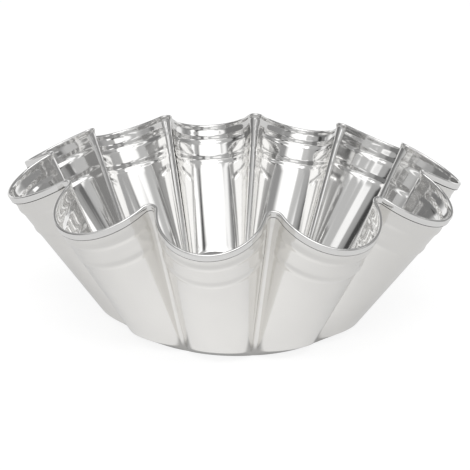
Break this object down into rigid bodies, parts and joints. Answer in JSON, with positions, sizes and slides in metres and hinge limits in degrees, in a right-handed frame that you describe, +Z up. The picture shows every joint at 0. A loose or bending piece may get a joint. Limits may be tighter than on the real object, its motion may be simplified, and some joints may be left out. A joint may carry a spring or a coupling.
{
  "type": "fluted tart tin",
  "caption": "Deep round baking tin pressed from one bright tinned sheet, with wide flutes, a scalloped rim with a folded hem, two shallow beads below it and a flat base.",
  "frame": {"origin": "middle of the flat base, on its underside", "axes": "+Z up through the mouth, along the tin's axis; one flute faces -Y; +X to the right"},
  "size_m": [0.218, 0.2162, 0.0817],
  "materials": {
    "tinplate": "bright tinned steel sheet, mirror-like inside and slightly duller outside"
  },
  "bodies": {
    "root": {"fluted_tin": "tinplate"}
  },
  "joints": []
}
